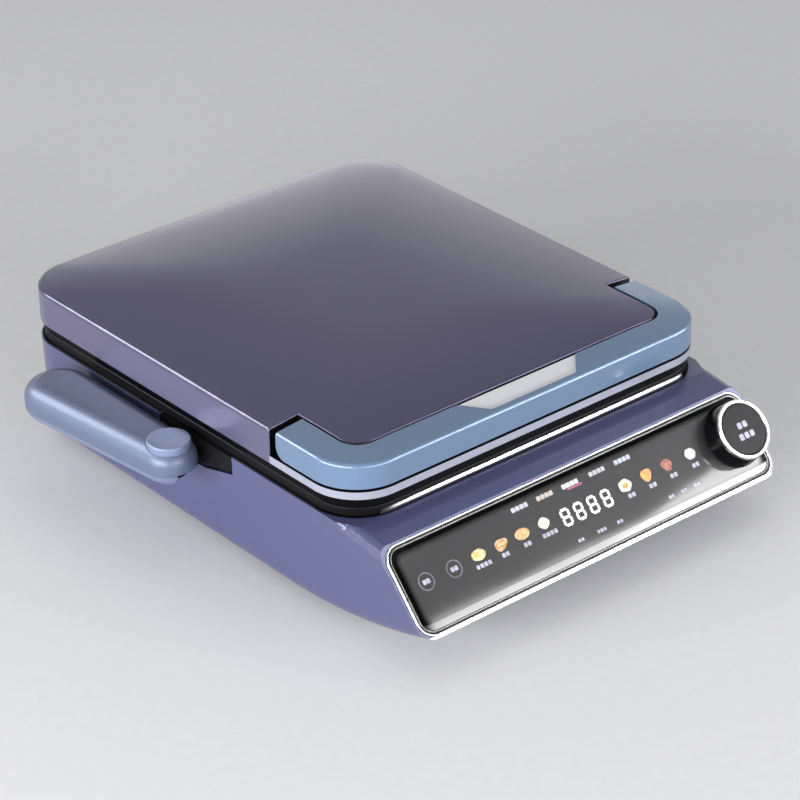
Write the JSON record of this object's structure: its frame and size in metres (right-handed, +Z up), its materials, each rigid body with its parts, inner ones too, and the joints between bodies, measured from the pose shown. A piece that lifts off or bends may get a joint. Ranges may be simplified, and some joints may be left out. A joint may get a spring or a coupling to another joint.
{
  "type": "clamshell griddle",
  "caption": "Table-top clamshell griddle with a flip-up crowned lid, a wraparound lid handle, a folding side pan handle, and a sloped glass control panel with a rotary dial.",
  "frame": {"origin": "on the standing surface, under the middle of the lid", "axes": "+Z up, +Y to the back where the lid is hinged, +X to the right as seen by someone who faces the control panel"},
  "size_m": [0.371, 0.461, 0.127],
  "materials": {
    "body_lacquer": "pale lilac metallic lacquer, satin",
    "lid_lacquer": "purple grey metallic lacquer, satin",
    "front_handle_lacquer": "steel blue metallic lacquer, satin",
    "dark_plastic": "moulded, fine grain",
    "satin_metal": "satin",
    "bright_steel": "ground",
    "screw_steel": "plated",
    "foot_rubber": "matt",
    "band_black": "smooth, semi-gloss",
    "bright_trim": "polished",
    "pan_coating": "dark non-stick coating",
    "plate_coating": "dark non-stick coating",
    "tray_metal": "rolled",
    "element_sheath": "heat-darkened",
    "ceramic": "unglazed",
    "side_handle_plastic": "blue grey metallic lacquer, satin",
    "side_handle_underside": "fine grain",
    "release_button_plastic": "blue grey metallic lacquer, satin",
    "mineral_felt": "felted",
    "hinge_plastic": "moulded, fine grain",
    "slide_plastic": "smooth, self-lubricating",
    "hinge_metal": "black enamel",
    "panel_frame_chrome": "polished",
    "panel_glass": "dark printed glass, polished",
    "mask_black": "smooth",
    "carrier_plastic": "moulded",
    "board_green": "lacquered",
    "display_module": "smooth",
    "light_body": "translucent",
    "touch_foam": "foam",
    "encoder_body": "moulded",
    "dial_black": "high gloss",
    "dial_chrome": "polished",
    "start_button_face": "satin",
    "board_parts": "moulded",
    "inlet_plastic": "moulded",
    "inlet_brass": "plated",
    "lead_sheath": "smooth",
    "ribbon": "smooth"
  },
  "bodies": {
    "base": {"base_shell": "body_lacquer", "bottom_cover": "dark_plastic", "bottom_screws": "screw_steel", "rubber_feet": "foot_rubber", "cavity_rim": "band_black", "front_trim": "bright_trim", "lower_pan": "pan_coating", "pan_bracket": "dark_plastic", "lower_tray": "tray_metal", "lower_element": "element_sheath", "element_clips": "ceramic", "thermostat_cup": "dark_plastic", "thermostat_spring": "bright_steel", "thermal_fuse": "ceramic", "hinge_towers": "hinge_plastic", "tower_screws": "screw_steel", "panel_frame": "panel_frame_chrome", "panel_glass": "panel_glass", "light_mask": "mask_black", "panel_carrier": "carrier_plastic", "touch_board": "board_green", "display_module": "display_module", "board_lights": "light_body", "touch_pads": "touch_foam", "encoder": "encoder_body", "button_switch": "encoder_body", "dial_collar": "dial_black", "power_board": "board_green", "board_parts": "board_parts", "power_inlet": "inlet_plastic", "inlet_pins": "inlet_brass", "supply_leads": "lead_sheath", "panel_ribbon": "ribbon"},
    "thermostat": {"thermostat_cap": "tray_metal"},
    "pan_handle": {"grip_upper": "side_handle_plastic", "grip_lower": "side_handle_underside", "grip_pin": "bright_steel", "release_spring": "bright_steel"},
    "release_button": {"release_button": "release_button_plastic"},
    "dial": {"dial_skirt": "dial_black", "dial_ring": "dial_chrome"},
    "start_button": {"start_button": "start_button_face"},
    "carriage": {"slide_block_left": "slide_plastic", "slide_block_right": "slide_plastic", "hinge_shaft": "bright_steel"},
    "lid": {"lid_shell": "lid_lacquer", "lid_frame": "band_black", "upper_plate": "plate_coating", "plate_rim": "band_black", "plate_screws": "screw_steel", "upper_element": "element_sheath", "upper_sensor": "ceramic", "upper_reflector": "tray_metal", "insulation_pad": "mineral_felt", "lid_hinge_bracket": "hinge_metal", "hinge_screws": "screw_steel"},
    "front_handle": {"front_handle_grip": "front_handle_lacquer", "front_handle_liner": "dark_plastic", "thumb_inlay": "satin_metal", "front_handle_pins": "bright_steel"}
  },
  "joints": [
    {"name": "lid_float", "type": "slide", "parent": "base", "child": "carriage", "axis": [0, 0, 1], "range_m": [0, 0.01]},
    {"name": "lid_hinge", "type": "hinge", "parent": "carriage", "child": "lid", "pos_m": [0, 0.2, 0.084], "axis": [-1, 0, 0], "range_deg": [0, 100]},
    {"name": "front_handle_flip", "type": "hinge", "parent": "lid", "child": "front_handle", "pos_m": [0, -0.11625, 0.11125], "axis": [-1, 0, 0], "range_deg": [0, 90]},
    {"name": "pan_handle_swing", "type": "hinge", "parent": "base", "child": "pan_handle", "pos_m": [-0.1805, -0.019, 0.066], "axis": [0, 0, 1], "range_deg": [0, 90]},
    {"name": "release_press", "type": "slide", "parent": "pan_handle", "child": "release_button", "axis": [0, 0, -1], "range_m": [0, 0.0025], "stiffness_N_per_m": 800, "springref_m": -0.002, "deforming": ["release_spring"]},
    {"name": "dial_turn", "type": "hinge", "parent": "base", "child": "dial", "pos_m": [0.136, -0.22521, 0.05556], "axis": [0, -0.7431, 0.6691], "continuous": true},
    {"name": "start_press", "type": "slide", "parent": "base", "child": "start_button", "axis": [0, 0.7431, -0.6691], "range_m": [0, 0.0015], "stiffness_N_per_m": 600, "springref_m": -0.002},
    {"name": "thermostat_press", "type": "slide", "parent": "base", "child": "thermostat", "axis": [0, 0, -1], "range_m": [0, 0.002], "stiffness_N_per_m": 500, "springref_m": -0.001, "deforming": ["thermostat_spring"]}
  ]
}
